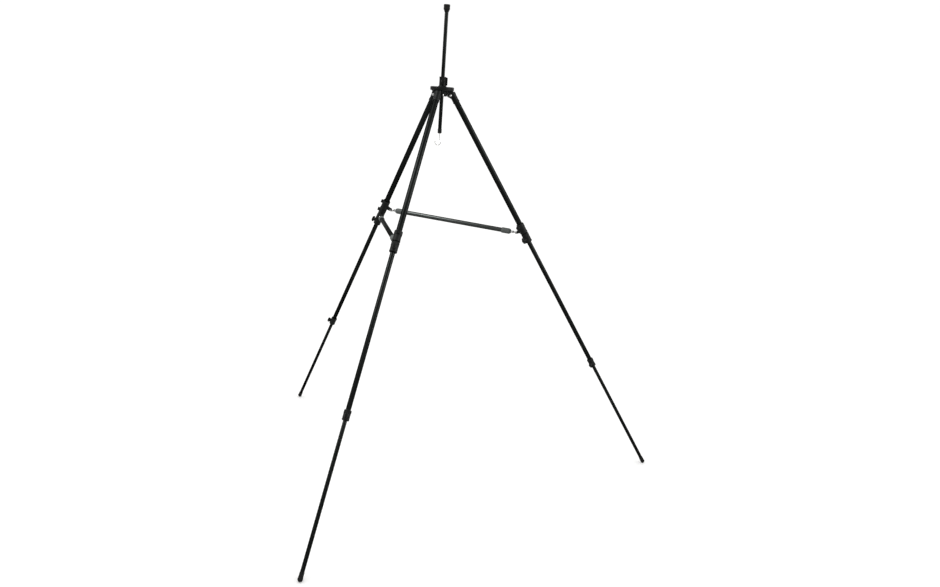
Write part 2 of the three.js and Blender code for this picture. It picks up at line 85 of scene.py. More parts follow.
# RUN is the gap between pieces that meet or slide, SNUG the one round a tube in its seat, and
# PIN_GAP the one round a pin or screw in its bore.
RUN = 0.3
SNUG = 0.05
PIN_GAP = 0.1

PLATE = {"radius": 45.3, "under": 16.0, "top": 31.0}
SLEEVE = {"radius": 13.0, "top": 68.0}
CLAMP_LUG = {"reach": 19.0, "half_width": 7.0, "bottom": 35.0, "top": 66.0, "azimuth": 21.0}
HUB = {"radius": 20.0, "bottom": -5.0}
EAR = {"inner": 13.5, "thickness": 4.0, "radius": 8.0}
PIN = {"radius": 3.0, "head": 5.2, "head_height": 2.4}

KNUCKLE = {"radius": 13.0, "bottom": 36.0, "lug_radius": 8.5, "lug_width": 18.0}

UPPER_LOCK = {
    "radius": 15.0, "top": 620.0, "bottom": 660.0, "screw": 643.5, "boss": 16.5, "span": 26.0,
}
LOWER_LOCK = {
    "radius": 13.0, "top": 1239.0, "bottom": 1275.0, "screw": 1259.5, "boss": 14.5, "span": 24.0,
}
LOCK_BOSS = 8.0
SCREW = {"radius": 3.0, "hub": 7.0, "wing": 6.4, "depth": 11.0}

FOOT = {"radius": 8.8, "top": 1768.0, "centre": 1791.0, "ground": 8.0}

BRACKET = {"radius": 15.5, "above": 28.0, "below": 13.0}
CLAMP_BOSS = {"radius": 7.5, "reach": 22.5, "height": 19.0}
KNOB_DEPTH = 5.5
FORK = {
    "reach": 30.0, "eye": 4.8, "root": 22.3, "half_height": 5.5, "half_width": 5.8, "slot": 2.8,
}
CROSS_PIN = {"radius": 2.5, "head": 4.2, "head_height": 1.5}

BAR = {
    "radius": 9.0, "wall": 1.2, "tube": 38.0,
    "sleeve": 11.5, "sleeve_start": 24.0, "sleeve_end": 62.0,
}
LINK = {"radius": 2.6, "eye": 5.5, "thickness": 4.0, "buried": 36.0}
LINK_COLLAR = {"radius": 5.5, "from_eye": 9.5, "from_hook": 12.0}
BAR_HOOK = {"wire": 2.2, "bend": 5.3, "neck": 18.0}

COLUMN = {"radius": 7.0, "wall": 1.2, "top": 323.0, "bottom": -126.5}
CAP = {"radius": 12.0, "foot_radius": 8.8, "bottom": 304.0, "shoulder": 317.0, "top": 331.0}
PLUG = {"radius": 8.0, "top": -126.5, "bottom": -144.5, "spigot": 16.0, "recess": 3.2}
COLUMN_SCREW = {"height": 50.0, "boss": 14.5, "boss_radius": 6.0, "span": 30.0}
BAG_HOOK = {
    "wire": 1.25, "bend": 11.5, "x": -5.5, "z": -178.0,
    "straight_end": -162.0, "top": -137.7, "knob": 2.8,
}

LEG_NAMES = ("front", "right", "left")
BRACKETS = (
    ("right", "spreader"),
    ("front", "spreader"),
    ("left", "high_spreader"),
    ("left", "low_spreader"),
)


# ---- Local frames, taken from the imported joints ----

joints = {joint["name"]: joint for joint in frame["joints"]}

# upright stands on the hinge pin, on_pin leans with the leg there, on_tube lies on the tubes' own
# axis, and offset is the way from the pin to that axis, in millimetres.
Leg = namedtuple("Leg", "upright on_pin on_tube offset")


def axes_at(origin, x, y, z):
    """A matrix from local axes to the row frame."""
    matrix = Matrix.Identity(4)
    for column, axis in enumerate((x, y, z)):
        matrix.col[column][:3] = axis
    matrix.col[3][:3] = origin
    return matrix


def joint_axis(name):
    return Vector(joints[name]["axis"]).normalized()


def joint_place(name):
    return Vector(joints[name]["pos_m"])


def centre_of(node):
    low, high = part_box(node)
    return (low + high) / 2


def leg_frames(name):
    pin = joint_place(f"leg_{name}_fold")
    across = joint_axis(f"leg_{name}_fold")
    along = joint_axis(f"leg_{name}_middle_slide")
    outward = across.cross(along)
    offset = (joint_place(f"leg_{name}_upper_screw_turn") - pin).dot(outward)
    up = Vector((0, 0, 1))
    upright = axes_at(pin, across.cross(up), across, up)
    on_pin = axes_at(pin, outward, across, along)
    on_tube = axes_at(pin + outward * offset, outward, across, along)
    return Leg(upright, on_pin, on_tube, offset / MM)


def turn(angle):
    return Matrix.Rotation(angle, 4, "Z")


def shift(x=0.0, z=0.0):
    """A shift within a frame of metres, given in millimetres."""
    return Matrix.Translation(Vector((x, 0, z)) * MM)


def bearing_about(matrix, axis):
    """The angle round a frame's Z at which an axis of the row frame points."""
    local = matrix.to_3x3().inverted() @ axis
    return math.atan2(local.y, local.x)


LEG = {name: leg_frames(name) for name in LEG_NAMES}
SPREAD = math.acos(LEG["front"].on_pin.col[2][2])
TUBE_OFFSET = LEG["front"].offset
column_middle = centre_of("column_tube")
hinge = LEG["front"].upright.translation
PIN_CIRCLE = math.hypot(hinge.x - column_middle.x, hinge.y - column_middle.y) / MM
HEAD = Matrix.Translation((column_middle.x, column_middle.y, hinge.z))


# ---- Outlines ----

def fillet(before, corner, after, radius, steps):
    """The points of an arc that rounds off one corner of an outline."""
    first = before - corner
    second = after - corner
    half = first.angle(second) / 2
    room = 0.49 * min(first.length, second.length)
    reach = min(radius / math.tan(half), room)
    radius = reach * math.tan(half)
    first.normalize()
    second.normalize()
    centre = corner + (first + second).normalized() * radius / math.sin(half)
    start = corner + first * reach - centre
    end = corner + second * reach - centre
    sweep = start.angle_signed(end)
    points = []
    for i in range(steps + 1):
        step = Matrix.Rotation(-sweep * i / steps, 2)
        points.append(centre + step @ start)
    return points


def outline(corners, closed=True, steps=4):
    """An outline from corners (a, b) or (a, b, rounding)."""
    spots = [Vector(corner[:2]) for corner in corners]
    points = []
    for i, corner in enumerate(corners):
        rounding = corner[2] if len(corner) > 2 else 0
        at_end = not closed and i in (0, len(corners) - 1)
        if rounding and not at_end:
            following = spots[(i + 1) % len(spots)]
            points += fillet(spots[i - 1], spots[i], following, rounding, steps)
        else:
            points.append(spots[i])
    return points


def arc(centre, radius, start, end, steps):
    """Points of an arc, from one angle to another in degrees."""
    points = []
    for i in range(steps + 1):
        angle = math.radians(start + (end - start) * i / steps)
        points.append((centre[0] + radius * math.cos(angle), centre[1] + radius * math.sin(angle)))
    return points


# ---- Solids ----

def solid(name, vertices, faces):
    """A linked object of one closed mesh, with its faces turned outwards."""
    mesh = bpy.data.meshes.new(name)
    mesh.from_pydata([tuple(v) for v in vertices], [], faces)
    work = bmesh.new()
    work.from_mesh(mesh)
    bmesh.ops.recalc_face_normals(work, faces=work.faces)
    if work.calc_volume(signed=True) < 0:
        bmesh.ops.reverse_faces(work, faces=work.faces)
    work.to_mesh(mesh)
    work.free()
    obj = bpy.data.objects.new(name, mesh)
    bpy.context.scene.collection.objects.link(obj)
    return obj


def skin(ring_pairs):
    """Faces between pairs of rings of vertex numbers. A ring may be one number, repeated."""
    faces = []
    for low, high in ring_pairs:
        for i in range(len(low)):
            j = (i + 1) % len(low)
            face = list(dict.fromkeys((low[i], low[j], high[j], high[i])))
            if len(face) > 2:
                faces.append(face)
    return faces


def turned(profile, segments=ROUND, shape=None):
    """A body turned about Z. profile is closed, and runs (radius, z). shape may change a
    radius by its angle: shape(radius, z, angle)."""
    vertices = []
    rings = []
    for radius, z in profile:
        if radius < TINY:
            rings.append([len(vertices)] * segments)
            vertices.append((0, 0, z))
            continue
        rings.append(list(range(len(vertices), len(vertices) + segments)))
        for i in range(segments):
            angle = 2 * math.pi * i / segments
            r = shape(radius, z, angle) if shape else radius
            vertices.append((r * math.cos(angle), r * math.sin(angle), z))
    return solid("turned", vertices, skin(zip(rings, rings[1:] + rings[:1])))


def moved(obj, matrix):
    obj.data.transform(matrix)
    return obj


def along_x(obj):
    return moved(obj, Matrix.Rotation(math.pi / 2, 4, "Y"))


def along_y(obj):
    return moved(obj, Matrix.Rotation(-math.pi / 2, 4, "X"))


def rod(radius, low, high, segments=SMALL_ROUND, rounding=0.0):
    corners = [(0, low), (radius, low, rounding), (radius, high, rounding), (0, high)]
    return turned(outline(corners, closed=False), segments)


def slab(points, low, high, thin=None):
    """A plate with an outline in XZ, from low to high along Y. thin(x, z) scales its Y."""
    count = len(points)
    vertices = []
    for y in (low, high):
        for x, z in points:
            vertices.append((x, y * (thin(x, z) if thin else 1), z))
    faces = [list(range(count)), list(range(2 * count - 1, count - 1, -1))]
    for i in range(count):
        j = (i + 1) % count
        faces.append([i, j, count + j, count + i])
    return solid("slab", vertices, faces)


def smooth_path(points, steps):
    """A Catmull-Rom curve through given points, with even steps between them."""
    spots = [Vector(p) for p in points]
    spots = [2 * spots[0] - spots[1], *spots, 2 * spots[-1] - spots[-2]]
    path = []
    for a, b, c, d in zip(spots, spots[1:], spots[2:], spots[3:]):
        for i in range(steps):
            t = i / steps
            path.append(
                0.5 * (2 * b + (c - a) * t + (2 * a - 5 * b + 4 * c - d) * t * t
                       + (3 * b - a - 3 * c + d) * t ** 3)
            )
    path.append(spots[-2])
    return path


def wire(path, radius, sides):
    """A round wire along a path in the XZ plane, flat at its start and round at its tip."""
    dome = 5
    stations = [(point, 1.0) for point in path]
    end = path[-1]
    heading = (path[-1] - path[-2]).normalized()
    for i in range(1, dome + 1):
        angle = math.pi / 2 * i / dome
        stations.append((end + heading * radius * math.sin(angle), math.cos(angle)))
    vertices = []
    rings = []
    side = Vector((0, 1, 0))
    for i, (point, scale) in enumerate(stations):
        before = stations[max(i - 1, 0)][0]
        after = stations[min(i + 1, len(stations) - 1)][0]
        normal = side.cross((after - before).normalized())
        if scale < TINY:
            rings.append([len(vertices)] * sides)
            vertices.append(point)
            continue
        rings.append(list(range(len(vertices), len(vertices) + sides)))
        for k in range(sides):
            angle = 2 * math.pi * k / sides
            spoke = normal * math.cos(angle) + side * math.sin(angle)
            vertices.append(point + spoke * radius * scale)
    start_face = list(reversed(rings[0]))
    return solid("wire", vertices, [start_face, *skin(zip(rings, rings[1:]))])


def applied(obj):
    """Takes the modifiers off an object and keeps what they made."""
    bpy.context.view_layer.update()
    depsgraph = bpy.context.evaluated_depsgraph_get()
    mesh = bpy.data.meshes.new_from_object(obj.evaluated_get(depsgraph))
    obj.modifiers.clear()
    obj.data = mesh
    return obj


def combined(obj, operation, others):
    """Joins, cuts or intersects a solid with others, which are used up."""
    for other in others:
        modifier = obj.modifiers.new("combine", "BOOLEAN")
        modifier.operation = operation
        modifier.solver = "MANIFOLD"
        modifier.object = other
        applied(obj)
        bpy.data.objects.remove(other)
    return obj


def join(obj, *others):
    return combined(obj, "UNION", others)


def cut(obj, *others):
    return combined(obj, "DIFFERENCE", others)


def within(obj, other):
    return combined(obj, "INTERSECT", [other])


def moulded(obj, grain, relax=3, keep=0.4):
    """Melts a solid's edges into small fillets, as a moulding or casting has. grain is about
    the smallest detail that stays, and keep is the share of the faces that stays."""
    remesh = obj.modifiers.new("remesh", "REMESH")
    remesh.mode = "VOXEL"
    remesh.voxel_size = grain
    remesh.adaptivity = 0
    smooth = obj.modifiers.new("smooth", "SMOOTH")
    smooth.factor = 0.5
    smooth.iterations = relax
    thin = obj.modifiers.new("thin", "DECIMATE")
    thin.ratio = keep
    return applied(obj)


# ---- Materials ----

class Shader:
    """A Principled material whose nodes read the local millimetres stored on each mesh."""

    def __init__(self, name, **fixed):
        self.material = bpy.data.materials.new(name)
        self.material.use_nodes = True
        self.tree = self.material.node_tree
        self.surface = self.tree.nodes["Principled BSDF"]
        for socket, value in fixed.items():
            label = socket.replace("_", " ").title().replace("Ior", "IOR")
            self.surface.inputs[label].default_value = value
        attribute = self.tree.nodes.new("ShaderNodeAttribute")
        attribute.attribute_name = "local"
        self.local = attribute.outputs["Vector"]

    def node(self, kind, **settings):
        made = self.tree.nodes.new(kind)
        for key, value in settings.items():
            setattr(made, key, value)
        return made

    def feed(self, socket, value):
        if isinstance(value, bpy.types.NodeSocket):
            self.tree.links.new(value, socket)
        else:
            socket.default_value = value

    def stretch(self, x, y, z):
        """Local place, scaled, so that a texture can be drawn out along an axis."""
        node = self.node("ShaderNodeVectorMath", operation="MULTIPLY")
        self.feed(node.inputs[0], self.local)
        node.inputs[1].default_value = (x, y, z)
        return node.outputs[0]

    def noise(self, place, scale=1.0, detail=3.0, rough=0.5):
        node = self.node("ShaderNodeTexNoise")
        self.feed(node.inputs["Vector"], place)
        node.inputs["Scale"].default_value = scale
        node.inputs["Detail"].default_value = detail
        node.inputs["Roughness"].default_value = rough
        return node.outputs["Fac"]

    def cells(self, place, scale=1.0):
        node = self.node("ShaderNodeTexVoronoi", feature="F1")
        self.feed(node.inputs["Vector"], place)
        node.inputs["Scale"].default_value = scale
        return node.outputs["Distance"]

    def span(self, value, low, high, to_low=0.0, to_high=1.0):
        """Maps low..high to to_low..to_high, and holds it there outside."""
        node = self.node("ShaderNodeMapRange", clamp=True)
        self.feed(node.inputs["Value"], value)
        node.inputs["From Min"].default_value = low
        node.inputs["From Max"].default_value = high
        node.inputs["To Min"].default_value = to_low
        node.inputs["To Max"].default_value = to_high
        return node.outputs["Result"]

    def maths(self, operation, a, b):
        node = self.node("ShaderNodeMath", operation=operation)
        self.feed(node.inputs[0], a)
        self.feed(node.inputs[1], b)
        return node.outputs[0]

    def mix(self, share, a, b):
        node = self.node("ShaderNodeMix", data_type="RGBA")
        self.feed(node.inputs["Factor"], share)
        self.feed(node.inputs[6], a)
        self.feed(node.inputs[7], b)
        return node.outputs[2]

    def edges(self, low=0.52, high=0.62):
        """Where the mesh is convex, as an edge that hands and bags rub. The plastics also paint a
        highlight there.
        """
        node = self.node("ShaderNodeNewGeometry")
        return self.span(node.outputs["Pointiness"], low, high)

    def bump(self, height, strength, distance):
        """Relief. distance is in millimetres."""
        node = self.node("ShaderNodeBump")
        node.inputs["Strength"].default_value = strength
        node.inputs["Distance"].default_value = distance * MM
        self.feed(node.inputs["Height"], height)
        self.feed(self.surface.inputs["Normal"], node.outputs["Normal"])

    def done(self, colour, roughness):
        self.feed(self.surface.inputs["Base Color"], colour)
        self.feed(self.surface.inputs["Roughness"], roughness)
        return self.material


def grey(value, tint=(1.0, 1.0, 1.0)):
    return (value * tint[0], value * tint[1], value * tint[2], 1.0)


COOL = (0.94, 1.02, 0.98)


def anodised(name, base, worn):
    """Drawn aluminium tube: fine lengthwise draw lines, cloudy dye and long rubs."""
    s = Shader(name, metallic=1.0, specular_tint=grey(0.25))
    draw_lines = s.noise(s.stretch(2.6, 2.6, 0.004), detail=4.0, rough=0.6)
    cloud = s.noise(s.stretch(0.05, 0.05, 0.012), detail=3.0)
    tone = s.mix(s.span(cloud, 0.3, 0.7), grey(base * 0.78, COOL), grey(base * 1.3, COOL))
    tone = s.mix(s.span(draw_lines, 0.35, 0.7, 0.0, 0.35), tone, grey(base * 1.9, COOL))
    rubs = s.noise(s.stretch(0.9, 0.9, 0.02), detail=5.0, rough=0.7)
    patches = s.noise(s.stretch(0.03, 0.03, 0.006), detail=2.0)
    rub = s.maths("MULTIPLY", s.span(rubs, 0.6, 0.72), s.span(patches, 0.5, 0.68))
    tone = s.mix(s.maths("MULTIPLY", rub, 0.55), tone, grey(worn))
    nicks = s.span(s.cells(s.stretch(0.11, 0.11, 0.05)), 0.018, 0.03, 1.0, 0.0)
    tone = s.mix(s.maths("MULTIPLY", nicks, 0.7), tone, grey(worn * 2.2))
    s.bump(s.maths("SUBTRACT", draw_lines, s.maths("MULTIPLY", nicks, 1.5)), 0.35, 0.05)
    return s.done(tone, s.span(s.maths("ADD", draw_lines, cloud), 0.7, 1.3, 0.34, 0.5))


def moulded_plastic(name, base, grain=3.2, rough=(0.46, 0.6)):
    """Injection-moulded plastic: eroded grain, slight flow marks, and convex edges made paler,
    partly as rubbed wear and partly as a painted highlight.
    """
    s = Shader(name, specular_ior_level=0.06)
    grains = s.noise(s.local, scale=grain, detail=2.0, rough=0.6)
    flow = s.noise(s.stretch(0.12, 0.12, 0.05), detail=3.0)
    tone = s.mix(s.span(flow, 0.3, 0.7), grey(base * 0.82, COOL), grey(base * 1.2, COOL))
    tone = s.mix(s.span(grains, 0.4, 0.7, 0.0, 0.3), tone, grey(base * 1.7, COOL))
    # Convex edges are lightened in the colour, partly as rubbed wear and partly as a painted
    # highlight.
    rub_wear_and_painted_sheen = s.maths("MULTIPLY", s.edges(), s.span(flow, 0.35, 0.6, 0.15, 0.6))
    tone = s.mix(rub_wear_and_painted_sheen, tone, grey(base * 3.0 + 0.006))
    s.bump(grains, 0.5, 0.06)
    return s.done(tone, s.span(grains, 0.3, 0.7, *rough))


def powder_coat(name, base):
    """Powder-coated casting: orange-peel skin, with the coat thinned on its edges."""
    s = Shader(name, metallic=0.1, specular_ior_level=0.06)
    peel = s.noise(s.local, scale=0.9, detail=3.0)
    fine = s.noise(s.local, scale=4.0, detail=2.0)
    tone = s.mix(s.span(peel, 0.35, 0.65), grey(base * 0.8, COOL), grey(base * 1.25, COOL))
    chips = s.span(s.noise(s.local, scale=0.5, detail=6.0, rough=0.75), 0.58, 0.66)
    thinned = s.maths("ADD", s.maths("MULTIPLY", chips, 0.6), 0.15)
    worn = s.maths("MULTIPLY", s.edges(0.54, 0.64), thinned)
    tone = s.mix(worn, tone, grey(0.07))
    s.bump(s.maths("ADD", peel, s.maths("MULTIPLY", fine, 0.35)), 0.55, 0.12)
    return s.done(tone, s.span(peel, 0.3, 0.7, 0.4, 0.56))


def rubber_skin(name, base):
    """Matt rubber with a fine talc bloom and dust where it is handled."""
    s = Shader(name, specular_ior_level=0.06, sheen_weight=0.03, sheen_roughness=0.5)
    pores = s.noise(s.local, scale=2.4, detail=4.0, rough=0.65)
    bloom = s.noise(s.stretch(0.14, 0.14, 0.1), detail=4.0)
    tone = s.mix(s.span(bloom, 0.35, 0.7), grey(base * 0.85), grey(base * 1.7))
    dusty = s.maths("MULTIPLY", s.edges(0.5, 0.6), s.span(bloom, 0.4, 0.65, 0.1, 0.5))
    tone = s.mix(dusty, tone, (0.024, 0.023, 0.021, 1.0))
    s.bump(pores, 0.6, 0.08)
    return s.done(tone, s.span(pores, 0.3, 0.7, 0.72, 0.9))


def bright_steel(name, base):
    """Zinc-plated steel: brushed lines, plating haze and dull spots in the corners."""
    s = Shader(name, metallic=1.0)
    brushed = s.noise(s.stretch(5.0, 5.0, 0.35), detail=3.0)
    haze = s.noise(s.stretch(0.3, 0.3, 0.3), detail=4.0)
    tone = s.mix(s.span(haze, 0.35, 0.7), grey(base * 0.8), grey(base * 1.1, (1.0, 0.995, 0.97)))
    spots = s.noise(s.local, scale=0.8, detail=5.0, rough=0.7)
    dull = s.span(spots, 0.6, 0.72, 0.0, 0.5)
    tone = s.mix(dull, tone, grey(base * 0.45))
    s.bump(brushed, 0.25, 0.02)
    return s.done(tone, s.span(s.maths("ADD", brushed, dull), 0.35, 1.1, 0.2, 0.42))


def nylon(name, base):
    """Natural nylon, slightly cloudy and greasy."""
    s = Shader(name, subsurface_weight=0.05, specular_ior_level=0.5)
    cloud = s.noise(s.stretch(0.2, 0.2, 0.2), detail=3.0)
    tone = s.mix(cloud, grey(base * 0.85, (1.0, 0.97, 0.9)), grey(base, (1.0, 0.98, 0.93)))
    s.bump(s.noise(s.local, scale=2.0), 0.3, 0.04)
    return s.done(tone, s.span(cloud, 0.3, 0.7, 0.4, 0.55))


FINISH = {
    "anodised_tube": anodised("anodised_tube", 0.0065, 0.035),
    "bar_aluminium": anodised("bar_aluminium", 0.032, 0.09),
    "sleeve_plastic": moulded_plastic("sleeve_plastic", 0.05),
    "casting": powder_coat("casting", 0.0034),
    "lock_plastic": moulded_plastic("lock_plastic", 0.0048),
    "wing_plastic": moulded_plastic("wing_plastic", 0.003, rough=(0.42, 0.55)),
    "guide_nylon": nylon("guide_nylon", 0.6),
    "rubber": rubber_skin("rubber", 0.003),
    "bright_steel": bright_steel("bright_steel", 0.28),
}


# ---- Placing ----

SLOTS = {part["node"]: part["material_slot"] for part in frame["record"]["subparts"]}
pieces = []
prototypes = []


def prototype(obj):
    """Keeps a shape to be copied, and to be removed at the end."""
    prototypes.append(obj)
    return obj


def add_detail(name, shape, matrix, node, slot, sharp=50.0):
    """Puts a copy of a shape into the row frame, on the body of a CAD node. The copy keeps
    its own millimetres for the material."""
    mesh = shape.data.copy()
    mesh.name = name
    local = np.empty(len(mesh.vertices) * 3, np.float32)
    mesh.vertices.foreach_get("co", local)
    mesh.attributes.new("local", "FLOAT_VECTOR", "POINT").data.foreach_set("vector", local)
    mesh.transform(matrix @ Matrix.Scale(MM, 4))
    mesh.materials.clear()
    mesh.materials.append(FINISH[slot])
    mesh.shade_smooth()
    mesh.set_sharp_from_angle(angle=math.radians(sharp))
    piece = bpy.data.objects.new(name, mesh)
    bpy.context.scene.collection.objects.link(piece)
    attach(piece, frame["nodes"][node]["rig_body"])
    pieces.append(piece)
    return piece


def place(name, shape, matrix, node, sharp=35.0):
    """Puts a copy of a shape into the row frame, in the stead of a CAD node."""
    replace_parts(add_detail(name, shape, matrix, node, SLOTS[node], sharp), node)


# ---- Head ----

def plate_solid():
    rim = PLATE["radius"]
    return turned(outline([
        (0, PLATE["under"]),
        (rim - 3.5, PLATE["under"], 0.8),
        (rim, PLATE["under"] + 2.0, 1.5),
        (rim, PLATE["top"] - 2.0, 2.0),
        (rim - 2.5, PLATE["top"], 1.5),
        (0, PLATE["top"]),
    ], closed=False), 128)


def sleeve_solid():
    """The clamp sleeve, on a foot that runs out into the plate."""
    neck = SLEEVE["radius"]
    return turned(outline([
        (0, PLATE["top"] - 2),
        (neck + 4.0, PLATE["top"] - 2),
        (neck + 4.0, PLATE["top"] + 1.0, 0.6),
        (neck - 0.6, PLATE["top"] + 4.0, 3.0),
        (neck - 0.6, SLEEVE["top"] - 6.0, 0.8),
        (neck, SLEEVE["top"] - 5.0, 0.5),
        (neck, SLEEVE["top"], 1.0),
        (0, SLEEVE["top"]),
    ], closed=False))


def hub_solid():
    return turned(outline([
        (0, HUB["bottom"]),
        (HUB["radius"] - 2.0, HUB["bottom"], 1.2),
        (HUB["radius"], HUB["bottom"] + 3.0, 1.5),
        (HUB["radius"], PLATE["under"] + 2),
        (0, PLATE["under"] + 2),
    ], closed=False))


def lug_solid():
    """The square lug on one side of the clamp sleeve."""
    edges = [(0, CLAMP_LUG["bottom"]), (CLAMP_LUG["reach"], CLAMP_LUG["bottom"], 4.0)]
    edges += [(CLAMP_LUG["reach"], CLAMP_LUG["top"], 4.0), (0, CLAMP_LUG["top"])]
    lug = slab(outline(edges, steps=8), -CLAMP_LUG["half_width"], CLAMP_LUG["half_width"])
    return moved(lug, turn(math.radians(CLAMP_LUG["azimuth"])))


def ear_outline():
    """An ear round a hinge pin, with its root inside the plate."""
    low = PIN_CIRCLE - EAR["radius"]
    high = PIN_CIRCLE + EAR["radius"]
    points = [(low - 3, PLATE["under"] + 1), (low, PLATE["under"] - 3)]
    points += arc((PIN_CIRCLE, 0), EAR["radius"], 180, 360, 24)
    points += [(high, PLATE["under"] - 3), (high + 2, PLATE["under"] + 1)]
    return points


def head_shape():
    """The casting: plate, clamp sleeve with its lug, hub, screw boss and three pairs of ears."""
    screw_place = turn(bearing_about(HEAD, joint_axis("column_screw_turn")))
    screw_place = screw_place @ Matrix.Translation((0, 0, COLUMN_SCREW["height"]))
    boss = along_x(rod(COLUMN_SCREW["boss_radius"], 0, COLUMN_SCREW["boss"], rounding=0.8))
    thread = along_x(rod(SCREW["radius"] + PIN_GAP, 0, COLUMN_SCREW["boss"] + 1))
    moved(boss, screw_place)
    moved(thread, screw_place)
    head = join(plate_solid(), sleeve_solid(), hub_solid(), lug_solid(), boss)
    outer = EAR["inner"] + EAR["thickness"]
    for leg in LEG.values():
        around = turn(bearing_about(HEAD, leg.upright.col[0].to_3d()))
        for edges in ((-outer, -EAR["inner"]), (EAR["inner"], outer)):
            join(head, moved(slab(ear_outline(), *edges), around))
        bore = along_y(rod(PIN["radius"] + PIN_GAP, -outer - 1, outer + 1))
        cut(head, moved(bore, around @ Matrix.Translation((PIN_CIRCLE, 0, 0))))
    cut(head, rod(COLUMN["radius"] + RUN, HUB["bottom"] - 1, SLEEVE["top"] + 1, ROUND), thread)
    return prototype(moulded(head, 0.6, keep=0.5))


def rivet_shape(pin, half):
    """A pin along Y with a domed head beyond each end of its shaft."""
    rim = pin["head"]
    height = pin["head_height"]
    dome = [
        (rim, half),
        (rim, half + 0.35 * height),
        (rim * 0.86, half + 0.75 * height),
        (rim * 0.52, half + height),
        (0, half + height),
    ]
    profile = [(radius, -y) for radius, y in reversed(dome)]
    profile += [(pin["radius"], -half), (pin["radius"], half), *dome]
    return prototype(along_y(turned(profile, SMALL_ROUND)))


def wing_screw_shape(grip, seat, span):
    """A shaft along X, a round hub and two wings that thin towards their tips. grip is the
    radius of the tube that the tip presses on, and seat is where the boss ends."""
    start = seat + RUN
    depth = SCREW["depth"]
    shaft = along_x(rod(SCREW["radius"], grip + RUN, start + 1))
    hub = along_x(turned(outline([
        (0, start),
        (SCREW["hub"], start, 0.5),
        (SCREW["hub"], start + 0.5 * depth, 2.0),
        (SCREW["hub"] - 1.6, start + depth, 1.4),
        (2.4, start + depth, 0.2),
        (2.0, start + depth - 0.8, 0.2),
        (0, start + depth - 0.8),
    ], closed=False), SMALL_ROUND))
    half = span / 2
    near = start + 0.6
    far = start + depth
    upper = [
        (near, 3.0), (near, half - 2.4, 1.5), (near + 2.4, half, 1.8),
        (far - 3.4, half, 2.6), (far - 0.4, half * 0.6, 4.0), (far, 3.0),
    ]
    corners = upper + [(x, -z, *rest) for x, z, *rest in reversed(upper)]
    wing = SCREW["wing"] / 2
    thinning = 0.34
    wings = slab(outline(corners), -wing, wing, lambda x, z: 1.0 - thinning * abs(z) / half)
    return prototype(moulded(join(hub, shaft, wings), 0.33, keep=0.5))


# ---- Centre column ----

def tube_shape(size, low, high):
    """A tube with its cut ends lightly broken."""
    outer = size["radius"]
    inner = outer - size["wall"]
    return prototype(turned(outline([
        (inner, low, 0.2), (outer, low, 0.35), (outer, high, 0.35), (inner, high, 0.2),
    ], steps=2), 72))


def cap_shape():
    """The rubber cap, with a flared neck, and a ring groove in its side and in its top."""
    bore = COLUMN["radius"] + SNUG
    seat = COLUMN["top"] + RUN
    edge = CAP["radius"]
    return prototype(turned(outline([
        (bore, CAP["bottom"], 0.4),
        (CAP["foot_radius"], CAP["bottom"], 0.8),
        (CAP["foot_radius"] + 0.3, CAP["bottom"] + 3.0, 1.2),
        (edge, CAP["shoulder"] - 4.0, 3.0),
        (edge, CAP["shoulder"] + 3.0, 0.3),
        (edge - 0.6, CAP["shoulder"] + 3.5, 0.2),
        (edge - 0.6, CAP["shoulder"] + 4.3, 0.2),
        (edge, CAP["shoulder"] + 4.8, 0.3),
        (edge, CAP["top"], 2.6),
        (edge - 4.6, CAP["top"], 0.3),
        (edge - 5.0, CAP["top"] - 0.5, 0.2),
        (edge - 5.8, CAP["top"] - 0.5, 0.2),
        (edge - 6.2, CAP["top"], 0.3),
        (0, CAP["top"]),
        (0, seat),
        (bore, seat),
    ], steps=5), ROUND))


def plug_shape():
    """The column's plug, with a stepped hole that the hook's knob can't leave."""
    hole = BAG_HOOK["wire"] + 0.2
    inner = COLUMN["radius"] - COLUMN["wall"] - RUN
    flange = PLUG["top"] - RUN
    floor = BAG_HOOK["top"] - 1.3
    low = PLUG["bottom"]
    return prototype(turned(outline([
        (hole, low, 0.3),
        (PLUG["radius"] - 2.6, low, 0.4),
        (PLUG["radius"], low + 2.2, 1.2),
        (PLUG["radius"], low + 7.0, 0.3),
        (PLUG["radius"] - 0.5, low + 7.5, 0.2),
        (PLUG["radius"] - 0.5, low + 8.3, 0.2),
        (PLUG["radius"], low + 8.8, 0.3),
        (PLUG["radius"], flange, 0.9),
        (inner, flange),
        (inner, flange + PLUG["spigot"], 0.5),
        (PLUG["recess"], flange + PLUG["spigot"], 0.3),
        (PLUG["recess"], floor),
        (hole, floor),
    ], steps=3), ROUND))


def bag_hook_shape():
    """A wire hook that hangs by the knob on its top end."""
    x, z, bend = BAG_HOOK["x"], BAG_HOOK["z"], BAG_HOOK["bend"]
    end = BAG_HOOK["straight_end"]
    points = [
        (0, 0, BAG_HOOK["top"]),
        (0, 0, (BAG_HOOK["top"] + end) / 2),
        (0, 0, end),
        (3.4, 0, end - 8.5),
    ]
    points += [(a, 0, b) for a, b in arc((x, z), bend, 0, -195, 9)]
    hook = wire(smooth_path(points, 8), BAG_HOOK["wire"], 20)
    knob = rod(BAG_HOOK["knob"], BAG_HOOK["top"] - 1, BAG_HOOK["top"] + 1, rounding=0.4)
    return prototype(moulded(join(hook, knob), 0.25, relax=2, keep=0.5))


# ---- Leg pieces ----

